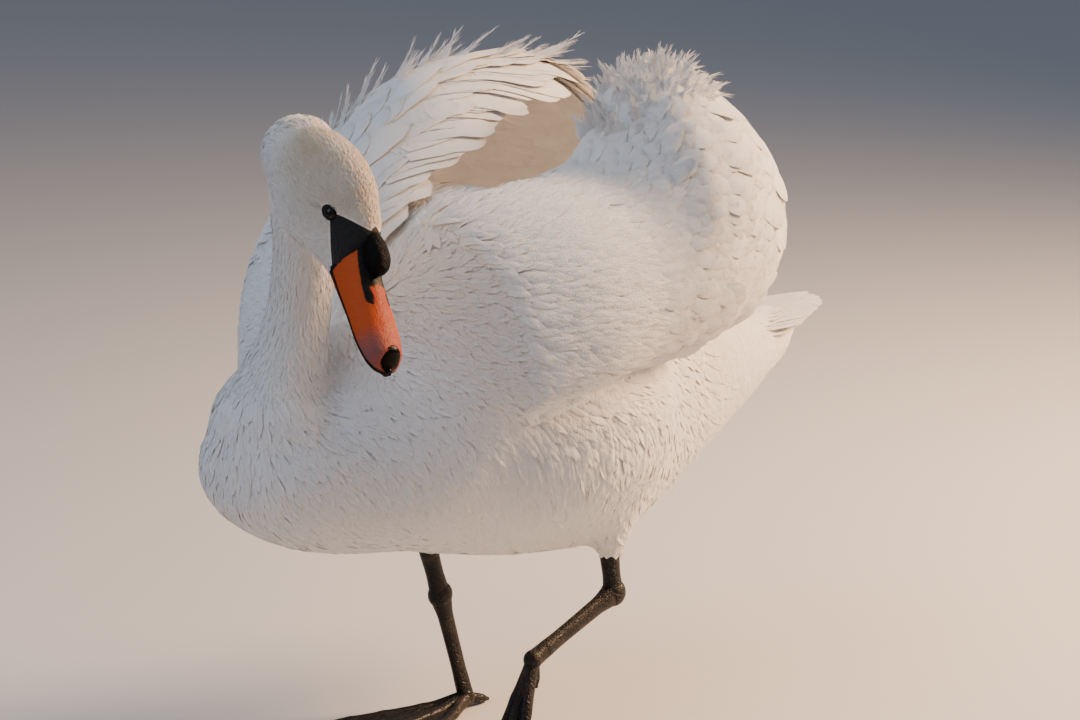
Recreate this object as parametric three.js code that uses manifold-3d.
// A mute swan, life size, walking with its wings arched over its back and its head turned to its left.
// Millimetres, +Z up. The swan faces -Y and its left side is +X.
import * as THREE from 'three';
import { mergeVertices } from 'three/addons/utils/BufferGeometryUtils.js';
import Module from 'manifold-3d';

const wasm = await Module();
wasm.setup();
const vec = (x, y, z) => new THREE.Vector3(x, y, z);
const X_AXIS = vec(1, 0, 0);
const Z_AXIS = vec(0, 0, 1);

// ---------------------------------------------------------------- driving sizes
const GAP = 0.3;
const BREAST_Y = -315;
const BELLY_Z = 155;
const RUMP_END_Y = 392;
const TAIL = { root: 236, tip: 424, level: 310, spread: 13, feathers: 7, wedge: 46, droop: 13 };
const NECK_RADIUS = 25;
const MID_EYE = vec(83.4, -274.2, 480.9);
const HEAD_TURN = { heading: 75, pitch: 40, roll: -18 };
const SKULL = { back: -84, front: 36 };
const NAPE = { centre: vec(15, -250.5, 517), radius: 29.5 };
const BILL = { hidden: 20, base: 31, nail: 106, tip: 118, mouthBase: -24, mouthTip: -35, lip: 2.2 };
const EYE = { radius: 7, apart: 17 };
const KNOB = { centre: vec(40, 0, 6), radii: vec(18, 9.5, 10.5), dip: 18 };
const WING = { front: -214, back: 262, lowEdge: -38, topEdge: 92, depth: 100, thinTop: 0.35 };
const ANKLE = { left: vec(75, 42, 131), right: vec(-84, 9, 107) };
const FOOT_JOINT = { left: vec(74, -58, 98), right: vec(-83, 40, 9) };
const THIGH_END = { left: vec(75, 38, 157), right: vec(-84, -4, 145) };
const TOES = [{ spread: -23, length: 138 }, { spread: 1, length: 146 }, { spread: 23, length: 116 }];
const HIND_TOE = 24;
const HOCK = vec(10.5, 12.5, 12.5);

const WHITE = { color: 0xf1eee6, roughness: 0.85 };
const ORANGE = { color: 0xd0552a, roughness: 0.42 };
const BLACK = { color: 0x16130f, roughness: 0.5 };
const EYE_BROWN = { color: 0x1a0f0a, roughness: 0.08 };
const LEG_SKIN = { color: 0x221c18, roughness: 0.6 };

const { degToRad: radians, lerp: mix } = THREE.MathUtils;
const SIDES = ['left', 'right'];

// ---------------------------------------------------------------- curves and closed bodies

// A smooth function through [t, value] stops that never overshoots them.
function profile(stops) {
  const slope = stops.map((stop, i) => {
    if (i === 0 || i === stops.length - 1) return 0;
    const before = (stop[1] - stops[i - 1][1]) / (stop[0] - stops[i - 1][0]);
    const after = (stops[i + 1][1] - stop[1]) / (stops[i + 1][0] - stop[0]);
    return before * after > 0 ? (2 * before * after) / (before + after) : 0;
  });
  return (t) => {
    const last = stops.length - 1;
    if (t <= stops[0][0]) return stops[0][1];
    if (t >= stops[last][0]) return stops[last][1];
    const i = stops.findIndex((stop, k) => k < last && t < stops[k + 1][0]);
    const [t0, v0] = stops[i];
    const [t1, v1] = stops[i + 1];
    const span = t1 - t0;
    const s = (t - t0) / span;
    const blend = s * s * (3 - 2 * s);
    const lift = s * (1 - s) * ((1 - s) * slope[i] - s * slope[i + 1]) * span;
    return v0 + (v1 - v0) * blend + lift;
  };
}

// One ring of points: an oval with its own height above and below its centre.
function oval({ centre, across, upward, halfWidth, above, below, sides, squareness = 2 }) {
  const power = 2 / squareness;
  return Array.from({ length: sides }, (_, k) => {
    const angle = (2 * Math.PI * k) / sides;
    const c = Math.cos(angle);
    const s = Math.sin(angle);
    const out = Math.sign(c) * Math.abs(c) ** power * halfWidth;
    const rise = Math.sign(s) * Math.abs(s) ** power * (s > 0 ? above : below);
    return centre.clone().addScaledVector(across, out).addScaledVector(upward, rise);
  });
}

// Turns points and triangles into a solid, with its faces pointing out.
function solid(points, triangles) {
  let volume = 0;
  for (const [a, b, c] of triangles) {
    volume += points[a].dot(points[b].clone().cross(points[c]));
  }
  const faces = volume > 0 ? triangles : triangles.map(([a, b, c]) => [a, c, b]);
  const positions = points.flatMap((p) => [p.x, p.y, p.z]);
  const geometry = new THREE.BufferGeometry();
  geometry.setAttribute('position', new THREE.Float32BufferAttribute(positions, 3));
  geometry.setIndex(faces.flat());
  return solidFromGeometry(geometry);
}

function solidFromGeometry(source) {
  const geometry = source.clone();
  geometry.deleteAttribute('normal');
  geometry.deleteAttribute('uv');
  const merged = mergeVertices(geometry, 1e-4);
  return new wasm.Manifold(new wasm.Mesh({
    numProp: 3,
    vertProperties: new Float32Array(merged.attributes.position.array),
    triVerts: new Uint32Array(merged.index.array),
  }));
}

// A body through rings of equal length, closed by a fan of triangles at each end.
function throughRings(rings) {
  const sides = rings[0].length;
  const points = rings.flat();
  const triangles = [];
  for (let i = 0; i + 1 < rings.length; i += 1) {
    for (let k = 0; k < sides; k += 1) {
      const a = i * sides + k;
      const b = i * sides + ((k + 1) % sides);
      triangles.push([a, b, b + sides], [a, b + sides, a + sides]);
    }
  }
  for (const end of [0, rings.length - 1]) {
    const middle = rings[end].reduce((sum, p) => sum.add(p), vec(0, 0, 0)).divideScalar(sides);
    const hub = points.push(middle) - 1;
    for (let k = 0; k < sides; k += 1) {
      const a = end * sides + k;
      const b = end * sides + ((k + 1) % sides);
      triangles.push(end === 0 ? [hub, b, a] : [hub, a, b]);
    }
  }
  return solid(points, triangles);
}

// A curved plate: outer(u, v) is its face, and the other face lies thickness(u, v) inside it.
function plate({ outer, thickness, rows, columns, grow = 0 }) {
  const step = 1e-3;
  const faces = [[], []];
  for (let i = 0; i <= rows; i += 1) {
    for (let j = 0; j <= columns; j += 1) {
      const u = i / rows;
      const v = j / columns;
      const p = outer(u, v);
      const along = outer(u + step, v).sub(outer(u - step, v));
      const round = outer(u, v + step).sub(outer(u, v - step));
      const normal = along.cross(round).normalize();
      faces[0].push(p.clone().addScaledVector(normal, grow));
      faces[1].push(p.clone().addScaledVector(normal, -thickness(u, v) - grow));
    }
  }
  const width = columns + 1;
  const half = faces[0].length;
  const triangles = [];
  for (let i = 0; i < rows; i += 1) {
    for (let j = 0; j < columns; j += 1) {
      const a = i * width + j;
      const b = a + width;
      triangles.push([a, b, b + 1], [a, b + 1, a + 1]);
      triangles.push([half + a, half + b + 1, half + b], [half + a, half + a + 1, half + b + 1]);
    }
  }
  const border = [];
  for (let j = 0; j < columns; j += 1) border.push(j);
  for (let i = 0; i < rows; i += 1) border.push(i * width + columns);
  for (let j = columns; j > 0; j -= 1) border.push(rows * width + j);
  for (let i = rows; i > 0; i -= 1) border.push(i * width);
  border.forEach((a, k) => {
    const b = border[(k + 1) % border.length];
    triangles.push([a, b, half + b], [a, half + b, half + a]);
  });
  return solid([...faces[0], ...faces[1]], triangles);
}

// A tube of changing oval section along a smooth path.
function limb({ path, width, above, below, across, rows, sides }) {
  const rings = [];
  for (let i = 0; i <= rows; i += 1) {
    const t = i / rows;
    const tangent = path.getTangent(t);
    const upward = tangent.clone().cross(across).normalize();
    const side = tangent.clone().cross(upward).normalize();
    rings.push(oval({
      centre: path.getPoint(t), across: side, upward, sides,
      halfWidth: width(t), above: above(t), below: below(t),
    }));
  }
  return throughRings(rings);
}

function ellipsoid(centre, radii, detail, axes = new THREE.Matrix4()) {
  const geometry = new THREE.SphereGeometry(1, detail, Math.round(detail / 2) + 2);
  geometry.scale(radii.x, radii.y, radii.z);
  geometry.applyMatrix4(new THREE.Matrix4().extractRotation(axes));
  geometry.translate(centre.x, centre.y, centre.z);
  return solidFromGeometry(geometry);
}

// A thin slab through a point, square to a direction, that parts one solid into two.
function slab(point, direction, thickness = GAP, reach = 1200) {
  const geometry = new THREE.BoxGeometry(reach, reach, thickness);
  const turn = new THREE.Quaternion().setFromUnitVectors(Z_AXIS, direction.clone().normalize());
  geometry.applyQuaternion(turn);
  geometry.translate(point.x, point.y, point.z);
  return solidFromGeometry(geometry);
}

// The side of a solid that lies ahead of a plane, half a gap clear of it.
function ahead(body, point, direction) {
  const reach = 1200;
  const far = direction.clone().normalize().multiplyScalar((reach + GAP) / 2);
  return body.intersect(slab(point.clone().add(far), direction, reach, 2 * reach));
}

const behind = (body, point, direction) => ahead(body, point, direction.clone().negate());
const joined = (bodies) => bodies.reduce((sum, body) => sum.add(body));
const largest = (body) => body.decompose().sort((a, b) => b.volume() - a.volume())[0];

// ---------------------------------------------------------------- trunk and neck

const TRUNK_WIDTH = profile([
  [BREAST_Y, 3], [-311, 28], [-300, 50], [-278, 70], [-245, 86], [-212, 106], [-175, 130],
  [-130, 143], [-60, 150], [0, 144], [45, 127], [90, 103], [140, 88], [200, 76], [255, 64],
  [315, 48], [RUMP_END_Y, 16],
]);
const TRUNK_BOTTOM = profile([
  [BREAST_Y, 283], [-311, 262], [-300, 244], [-278, 227], [-250, 214], [-215, 205], [-177, 199],
  [-137, 190], [-95, 180], [-50, 170], [10, 161], [70, BELLY_Z], [100, 159], [130, 170],
  [160, 183], [205, 206], [274, 237], [347, 272], [RUMP_END_Y, 294],
]);
const TRUNK_TOP = profile([
  [BREAST_Y, 296], [-311, 316], [-300, 324], [-278, 334], [-245, 346], [-205, 384], [-160, 436],
  [-115, 468], [-75, 476], [-30, 466], [10, 448], [70, 420], [130, 388], [200, 356], [260, 334],
  [320, 320], [RUMP_END_Y, 310],
]);
const FLANK = { centre: vec(80, -50, 290), radii: vec(86, 134, 84) };

function trunkBody(grow = 0) {
  const rows = 17;
  const rings = [];
  for (let i = 0; i <= rows; i += 1) {
    const y = mix(BREAST_Y - grow, RUMP_END_Y + grow, (1 - Math.cos((Math.PI * i) / rows)) / 2);
    const top = TRUNK_TOP(y);
    const bottom = TRUNK_BOTTOM(y);
    const middle = mix(bottom, top, 0.44);
    rings.push(oval({
      centre: vec(0, y, middle), across: X_AXIS, upward: Z_AXIS, sides: 16,
      halfWidth: TRUNK_WIDTH(y) + grow, above: top - middle + grow, below: middle - bottom + grow,
    }));
  }
  const radii = FLANK.radii.clone().addScalar(grow);
  const flanks = [1, -1].map((side) => {
    const centre = FLANK.centre.clone().multiply(vec(side, 1, 1));
    return ellipsoid(centre, radii, 12);
  });
  return joined([throughRings(rings), ...flanks]);
}

const HEADING = radians(HEAD_TURN.heading);
const PITCH = radians(HEAD_TURN.pitch);
const ROLL = radians(HEAD_TURN.roll);
const LEVEL = Math.cos(PITCH);
const FORWARD = vec(Math.sin(HEADING) * LEVEL, -Math.cos(HEADING) * LEVEL, -Math.sin(PITCH));
const HEAD_LEFT = vec(Math.cos(HEADING), Math.sin(HEADING), 0).applyAxisAngle(FORWARD, ROLL);
const DORSAL = FORWARD.clone().cross(HEAD_LEFT);
const HEAD_FRAME = new THREE.Matrix4().makeBasis(FORWARD, HEAD_LEFT, DORSAL).setPosition(MID_EYE);

// A place on the head, from mid-eye: x towards the bill's tip, y to the head's left, z to its crown.
const onHead = (x, y, z) => vec(x, y, z).applyMatrix4(HEAD_FRAME);

const NECK_PATH = new THREE.CatmullRomCurve3([
  vec(0, -205, 262), vec(0, -250, 290), vec(1, -266, 322), vec(3, -260, 348), vec(5, -251, 375),
  vec(8, -246, 407), vec(13, -245, 445), vec(13, -246, 480), NAPE.centre,
]);
const NECK_WIDTH = profile([
  [0, 62], [0.13, 70], [0.26, 53], [0.38, 37], [0.5, 29], [0.62, NECK_RADIUS], [0.85, 25], [1, 26],
]);
const NECK_DEPTH = profile([
  [0, 48], [0.13, 56], [0.26, 47], [0.38, 35], [0.5, 29], [0.62, NECK_RADIUS], [0.85, 25], [1, 26],
]);
const NECK_CUTS = [0.37, 0.62, 0.86];

function neckBody(grow = 0) {
  const width = (t) => NECK_WIDTH(t) + grow;
  const depth = (t) => NECK_DEPTH(t) + grow;
  return limb({
    path: NECK_PATH, width, above: depth, below: depth, across: X_AXIS, rows: 14, sides: 12,
  });
}

// ---------------------------------------------------------------- head, bill and eyes

const SKULL_WIDTH = profile([
  [-84, 14], [-74, 23], [-62, 27.5], [-48, 29.5], [-30, 29.5], [-14, 27], [0, 23.2], [12, 20],
  [24, 17.5], [36, 15.5],
]);
const SKULL_TOP = profile([
  [-84, 2], [-74, 14], [-62, 22], [-50, 27], [-30, 33], [-12, 33.5], [8, 27], [24, 20], [36, 12],
]);
const SKULL_BOTTOM = profile([
  [-84, -34], [-74, -40], [-62, -43], [-48, -46], [-28, -50], [-10, -46], [8, -38], [24, -32],
  [36, -31],
]);
const BILL_WIDTH = profile([
  [20, 15], [45, 15.5], [70, 17], [94, 18.5], [106, 16.5], [114, 11], [118, 3],
]);
const BILL_TOP = profile([[20, 14], [40, 4], [56, -3], [74, -9], [94, -15], [108, -20], [118, -31]]);
const BILL_BOTTOM = profile([
  [20, -32], [40, -33], [60, -34], [80, -35.5], [100, -38], [112, -38.5], [118, -37],
]);

// Rings across the head's own length, from one x to another.
function alongHead({ from, to, rows, ease, middle, width, top, bottom, grow, sides, squareness }) {
  const rings = [];
  for (let i = 0; i <= rows; i += 1) {
    const x = mix(from, to, ease(i / rows));
    const level = middle(x);
    rings.push(oval({
      centre: onHead(x, 0, level), across: HEAD_LEFT, upward: DORSAL, halfWidth: width(x) + grow,
      above: top(x) - level + grow, below: level - bottom(x) + grow, sides, squareness,
    }));
  }
  return throughRings(rings);
}

const skullBody = (grow = 0) => alongHead({
  from: SKULL.back, to: SKULL.front, rows: 11, ease: (t) => t,
  middle: (x) => mix(SKULL_BOTTOM(x), SKULL_TOP(x), 0.52),
  width: SKULL_WIDTH, top: SKULL_TOP, bottom: SKULL_BOTTOM, grow, sides: 16,
});

const mouthLine = (x) => mix(BILL.mouthBase, BILL.mouthTip, (x - BILL.base) / (BILL.tip - BILL.base));

const billBody = (grow = 0) => alongHead({
  from: BILL.hidden, to: BILL.tip, rows: 8, ease: (t) => Math.sin((Math.PI * t) / 2), middle: mouthLine,
  width: BILL_WIDTH, top: BILL_TOP, bottom: (x) => Math.min(BILL_BOTTOM(x), mouthLine(x) - BILL.lip),
  grow, sides: 14, squareness: 2.3,
});

const KNOB_FRAME = HEAD_FRAME.clone().multiply(new THREE.Matrix4().makeRotationY(radians(KNOB.dip)));
const knobBody = (grow = 0) => ellipsoid(
  KNOB.centre.clone().applyMatrix4(HEAD_FRAME), KNOB.radii.clone().addScalar(grow), 10, KNOB_FRAME,
);
const eyeBody = (side, grow = 0) => ellipsoid(
  onHead(0, side * EYE.apart, 0), vec(1, 1, 1).multiplyScalar(EYE.radius + grow), 8,
);

// ---------------------------------------------------------------- wings

const WING_SIDE = profile([
  [0, 98], [0.08, 140], [0.16, 165], [0.3, 184], [0.5, 189], [0.65, 180], [0.8, 149], [0.92, 107],
  [1, 70],
]);
const WING_EDGE = profile([
  [0, 296], [0.15, 318], [0.35, 338], [0.5, 346], [0.66, 360], [0.75, 372], [0.86, 384],
  [0.95, 394], [1, 408],
]);
const WING_WIDEST = profile([[0, 318], [0.15, 338], [0.35, 368], [0.6, 402], [0.85, 418], [1, 418]]);
const WING_INNER = profile([[0, 20], [0.15, 40], [0.3, 55], [0.5, 64], [0.75, 66], [1, 56]]);
const WING_TOP = {
  left: profile([
    [0, 338], [0.04, 402], [0.08, 436], [0.15, 468], [0.3, 481], [0.42, 486], [0.49, 508],
    [0.56, 546], [0.63, 555], [0.72, 543], [0.8, 522], [0.9, 482], [0.96, 452], [1, 426],
  ]),
  right: profile([
    [0, 338], [0.04, 402], [0.08, 438], [0.15, 482], [0.25, 518], [0.36, 545], [0.5, 556],
    [0.62, 556], [0.74, 538], [0.86, 498], [0.95, 458], [1, 426],
  ]),
};
const WING_THICKNESS = profile([[0, 4], [0.12, 30], [0.3, 20], [0.55, 8], [1, 3.5]]);

// The outside of an arched wing: u runs from shoulder to tips, v from the low edge over to the top edge.
function wingSurface(side, u, v) {
  const angle = radians(mix(WING.lowEdge, WING.topEdge, v));
  const level = WING_WIDEST(u);
  const drop = (level - WING_EDGE(u)) / Math.sin(radians(-WING.lowEdge));
  const height = angle > 0 ? WING_TOP[side](u) - level : drop;
  return vec(
    WING_INNER(u) + (WING_SIDE(u) - WING_INNER(u)) * Math.cos(angle),
    mix(WING.front, WING.back, u),
    level + height * Math.sin(angle),
  );
}

// The hood of one wing before it is cut, grown all round by the gap where a neighbour is cut from it.
function hoodBody(side, grow = 0) {
  const past = grow / WING.depth;
  return plate({
    outer: (u, v) => wingSurface(side, mix(-past, 1 + past, u), mix(-past, 1 + past, v)),
    thickness: (u, v) => WING_THICKNESS(u) * mix(1, WING.thinTop, v ** 2),
    rows: 13, columns: 6, grow,
  });
}

// Feather tips that stand off the hood: each row runs along u at one v, and its tips point to a mix
// of three ways, which are along u, along v and out of the face.
const FRINGES = {
  left: [
    { tips: 6, from: 0.46, to: 0.62, v: 0.94, length: 36, ways: [0, 1, 0.2] },
    { tips: 3, from: 0.49, to: 0.62, v: 0.8, length: 32, ways: [0.1, 1, 0.3] },
    { tips: 3, from: 0.62, to: 0.74, v: 0.95, length: 38, ways: [1, 0.1, 0.1] },
    { tips: 5, from: 0.75, to: 0.97, v: 0.9, length: 24, ways: [1, 0, 0.05] },
    { tips: 3, from: 0.91, to: 0.99, v: 0.5, length: 24, ways: [1, -0.1, 0] },
  ],
  right: [
    { tips: 6, from: 0.24, to: 0.5, v: 0.94, length: 32, ways: [0.3, 1, 0.1] },
    { tips: 4, from: 0.48, to: 0.62, v: 0.97, length: 58, ways: [1, -0.05, 0.08] },
    { tips: 4, from: 0.63, to: 0.84, v: 0.97, length: 54, ways: [1, 0.05, 0.05] },
    { tips: 4, from: 0.84, to: 0.97, v: 0.9, length: 24, ways: [1, 0, 0.05] },
    { tips: 3, from: 0.91, to: 0.99, v: 0.5, length: 24, ways: [1, -0.1, 0] },
  ],
};
const NOTCH = 0.55;
const SUNK = 0.2;

// A row of feather tips as one thin plate with a saw-toothed border, its root sunk in the wing.
function fringeBody(side, { tips, from, to, v, length, ways }) {
  const step = 1e-3;
  return plate({
    outer: (share, out) => {
      const u = mix(from, to, share);
      const root = wingSurface(side, u, v);
      const along = wingSurface(side, u + step, v).sub(root).normalize();
      const upward = wingSurface(side, u, v + step).sub(root).normalize();
      const face = along.clone().cross(upward).normalize();
      const way = along.multiplyScalar(ways[0]);
      way.addScaledVector(upward, ways[1]).addScaledVector(face, ways[2]);
      const tooth = Math.abs(((share * tips) % 1) * 2 - 1);
      const reach = mix(-SUNK, mix(NOTCH, 1, 1 - tooth), out) * length;
      return root.addScaledVector(face, -1).addScaledVector(way.normalize(), reach);
    },
    rows: 2 * tips, columns: 1, thickness: () => 2.2,
  });
}

const PRIMARIES_PATH = new THREE.CatmullRomCurve3([
  vec(146, -70, 350), vec(138, 10, 368), vec(110, 100, 376), vec(74, 180, 368), vec(44, 226, 352),
]);

const primariesBody = () => limb({
  path: PRIMARIES_PATH, width: profile([[0, 5], [0.3, 5], [1, 2]]), above: profile([
    [0, 12], [0.4, 17], [1, 3],
  ]),
  below: profile([[0, 12], [0.4, 17], [1, 3]]), across: X_AXIS, rows: 8, sides: 8,
});

// ---------------------------------------------------------------- legs

// How a foot lies: for each distance down a toe, how far it has gone forward and how high it is.
const FOOT_LIE = {
  left: {
    forward: profile([[0, 0], [50, 24], [92, 44], [106, 55], [150, 99]]),
    height: profile([[0, 98], [50, 50], [92, 9], [104, 4.6], [150, 4.4]]),
  },
  right: { forward: (down) => down, height: profile([[0, 9], [35, 5.4], [150, 4.4]]) },
};

function toePoint(side, toe, t) {
  const outward = side === 'left' ? 1 : -1;
  const angle = radians(toe.spread * -outward);
  const down = toe.length * t;
  const reach = FOOT_LIE[side].forward(down);
  const joint = FOOT_JOINT[side];
  const x = joint.x + reach * Math.sin(angle);
  const y = joint.y - reach * Math.cos(angle);
  return vec(x, y, FOOT_LIE[side].height(down));
}

function footBody(side) {
  const bodies = TOES.map((toe) => {
    const points = Array.from({ length: 8 }, (_, k) => toePoint(side, toe, k / 7));
    return limb({
      path: new THREE.CatmullRomCurve3(points), width: profile([
        [0, 7.5], [0.3, 5.5], [0.85, 5], [0.93, 3], [1, 1],
      ]),
      above: profile([[0, 7], [0.3, 5], [0.85, 4.4], [0.93, 2.6], [1, 1]]),
      below: profile([[0, 7], [0.3, 6.2], [0.8, 6], [0.93, 5.6], [1, 5.2]]),
      across: X_AXIS, rows: 4, sides: 5,
    });
  });
  for (const k of [0, 1]) {
    bodies.push(plate({
      outer: (u, v) => {
        const t = u * (0.93 - 0.36 * v * (1 - v));
        return toePoint(side, TOES[k], t).lerp(toePoint(side, TOES[k + 1], t), v).add(vec(0, 0, 1.2));
      },
      rows: 3, columns: 1, thickness: () => 2.4,
    }));
  }
  const joint = FOOT_JOINT[side];
  const heel = joint.clone().add(side === 'left' ? vec(0, 4, -HIND_TOE) : vec(4, HIND_TOE, -6.2));
  bodies.push(limb({
    path: new THREE.LineCurve3(joint, heel), width: profile([[0, 5], [0.7, 3.8], [1, 2]]),
    above: profile([[0, 5], [0.7, 4.4], [1, 3.4]]), below: profile([[0, 5], [0.7, 4.6], [1, 3.4]]),
    across: X_AXIS, rows: 2, sides: 6,
  }));
  return joined(bodies);
}

// One whole leg, from inside the trunk to the toes, parted by thin cuts into thigh, shank and foot.
function legBodies(side) {
  const [end, ankle, joint] = [THIGH_END[side], ANKLE[side], FOOT_JOINT[side]];
  const hip = end.clone().add(vec(0, side === 'left' ? 8 : 24, 95));
  const knee = end.clone().lerp(hip, 0.5).add(vec(0, -6, 0));
  const thighRadius = profile([[0, 44], [0.5, 34], [0.8, 21], [1, 11]]);
  const thigh = limb({
    path: new THREE.QuadraticBezierCurve3(hip, knee, end), width: (t) => thighRadius(t) * 0.8,
    above: thighRadius, below: thighRadius, across: X_AXIS, rows: 5, sides: 10,
  });
  const shank = limb({
    path: new THREE.LineCurve3(end.clone().lerp(hip, 0.1), ankle),
    width: () => 8, above: () => 9, below: () => 9, across: X_AXIS, rows: 1, sides: 6,
  });
  const tarsusDepth = profile([[0, 10], [0.25, 8], [0.85, 7.5], [1, 8]]);
  const tarsus = limb({
    path: new THREE.LineCurve3(ankle, joint), width: profile([[0, 9], [0.25, 6], [0.85, 5.6], [1, 7]]),
    above: tarsusDepth, below: tarsusDepth, across: X_AXIS, rows: 3, sides: 6,
  });
  const hock = ellipsoid(ankle, HOCK, 6);
  const whole = joined([thigh, shank, hock, tarsus, footBody(side)]);
  const footCut = joint.clone().lerp(ankle, 0.13);
  const parted = ahead(whole, vec(0, 0, 0), Z_AXIS)
    .subtract(slab(end, end.clone().sub(ankle), GAP, 60))
    .subtract(slab(footCut, ankle.clone().sub(joint), GAP, 34))
    .subtract(trunkBody(GAP));
  const height = (body) => (body.boundingBox().max[2] + body.boundingBox().min[2]) / 2;
  return parted.decompose().filter((body) => body.volume() > 400).sort((a, b) => height(b) - height(a));
}

// ---------------------------------------------------------------- assembly

const group = new THREE.Group();

function show(name, body, look) {
  const data = body.getMesh();
  const geometry = new THREE.BufferGeometry();
  geometry.setAttribute('position', new THREE.BufferAttribute(new Float32Array(data.vertProperties), 3));
  geometry.setIndex(new THREE.BufferAttribute(new Uint32Array(data.triVerts), 1));
  geometry.computeVertexNormals();
  const mesh = new THREE.Mesh(geometry, new THREE.MeshStandardMaterial({ ...look, metalness: 0 }));
  mesh.name = name;
  group.add(mesh);
}

function showBody() {
  const neck = neckBody();
  const cuts = NECK_CUTS.map((t) => [NECK_PATH.getPoint(t), NECK_PATH.getTangent(t)]);
  const clearOfTrunk = (body) => largest(body.subtract(trunkBody(GAP)));
  const skull = skullBody();
  const headCut = [onHead(-52, 0, 0), FORWARD];
  const nape = ellipsoid(NAPE.centre, vec(1, 1, 1).multiplyScalar(NAPE.radius), 12);
  const bend = joined([neck, nape, skull]);
  const upper = behind(ahead(bend, ...cuts[2]), ...headCut);
  const trunk = largest(joined([trunkBody(), behind(neck, ...cuts[0])]));
  const tailCut = [vec(0, 238, 270), vec(0, 1, 0.25)];
  show('trunk', behind(trunk, ...tailCut), WHITE);
  show('neck_lower', clearOfTrunk(behind(ahead(neck, ...cuts[0]), ...cuts[1])), WHITE);
  const middleLength = behind(ahead(neck, ...cuts[1]), ...cuts[2]);
  show('neck_middle', largest(middleLength.subtract(skullBody(GAP))), WHITE);
  show('neck_upper', largest(upper), WHITE);
  const features = joined([billBody(GAP), knobBody(GAP), eyeBody(1, GAP), eyeBody(-1, GAP)]);
  const face = behind(ahead(skull, ...headCut), onHead(BILL.base, 0, 0), FORWARD);
  show('head', largest(face.subtract(features)), WHITE);
  const tail = joined([ahead(trunk, ...tailCut), ahead(tailFan(), ...tailCut)]);
  show('tail', largest(tail), WHITE);
}

// The tail's feathers as one fan with a saw-toothed end, shorter at its sides.
function tailFan() {
  return plate({
    outer: (share, out) => {
      const aside = share * 2 - 1;
      const angle = radians(TAIL.spread * aside);
      const tooth = Math.abs(((share * TAIL.feathers) % 1) * 2 - 1);
      const full = TAIL.tip - TAIL.root - TAIL.wedge * Math.abs(aside) ** 1.6;
      const length = full * out * mix(1, 0.93, out * tooth);
      const x = 12 * aside + length * Math.sin(angle);
      return vec(x, TAIL.root + length * Math.cos(angle), TAIL.level - TAIL.droop * aside ** 2);
    },
    rows: 2 * TAIL.feathers, columns: 2, thickness: (share, out) => mix(7, 2, out),
  });
}

function showHead() {
  const bill = billBody();
  const mouth = onHead(BILL.base, 0, BILL.mouthBase);
  const mouthEnd = onHead(BILL.tip, 0, BILL.mouthTip);
  const mouthUp = mouthEnd.clone().sub(mouth).cross(HEAD_LEFT);
  const nailCut = [onHead(BILL.nail, 0, 0), FORWARD];
  const beak = ahead(bill, onHead(BILL.base, 0, 0), FORWARD);
  const upper = ahead(beak, mouth, mouthUp).subtract(knobBody(GAP));
  show('bill_upper', largest(behind(upper, ...nailCut)), ORANGE);
  show('bill_nail', largest(ahead(upper, ...nailCut)), BLACK);
  show('bill_lower', largest(behind(beak, mouth, mouthUp)), ORANGE);
  show('bill_knob', knobBody(), BLACK);
  show('eye_left', eyeBody(1), EYE_BROWN);
  show('eye_right', eyeBody(-1), EYE_BROWN);
}

function showWing(side) {
  const place = (body) => (side === 'left' ? body : body.mirror([1, 0, 0]));
  const core = joined([trunkBody(GAP), neckBody(GAP)]);
  const fringes = FRINGES[side].map((row) => fringeBody(side, row));
  const wing = largest(place(joined([hoodBody(side), ...fringes])).subtract(core));
  const armCut = [vec(0, -108, 400), vec(0, 1, 0.3)];
  const flightCut = [vec(0, 118, 450), vec(0, 1, 0.5)];
  show(`wing_${side}_arm`, largest(behind(wing, ...armCut)), WHITE);
  show(`wing_${side}_coverts`, largest(behind(ahead(wing, ...armCut), ...flightCut)), WHITE);
  show(`wing_${side}_secondaries`, largest(ahead(wing, ...flightCut)), WHITE);
  const primaries = place(primariesBody()).subtract(core).subtract(place(hoodBody(side, 2 * GAP)));
  show(`wing_${side}_primaries`, largest(primaries), WHITE);
}

function showLeg(side) {
  const [thigh, shank, foot] = legBodies(side);
  show(`thigh_${side}`, thigh, WHITE);
  show(`shank_${side}`, shank, LEG_SKIN);
  show(`foot_${side}`, foot, LEG_SKIN);
}

showBody();
showHead();
SIDES.forEach(showWing);
SIDES.forEach(showLeg);

const box = new THREE.Box3().setFromObject(group);
const middle = box.getCenter(vec(0, 0, 0));
group.position.set(-middle.x, -middle.y, -box.min.z);

export default group;
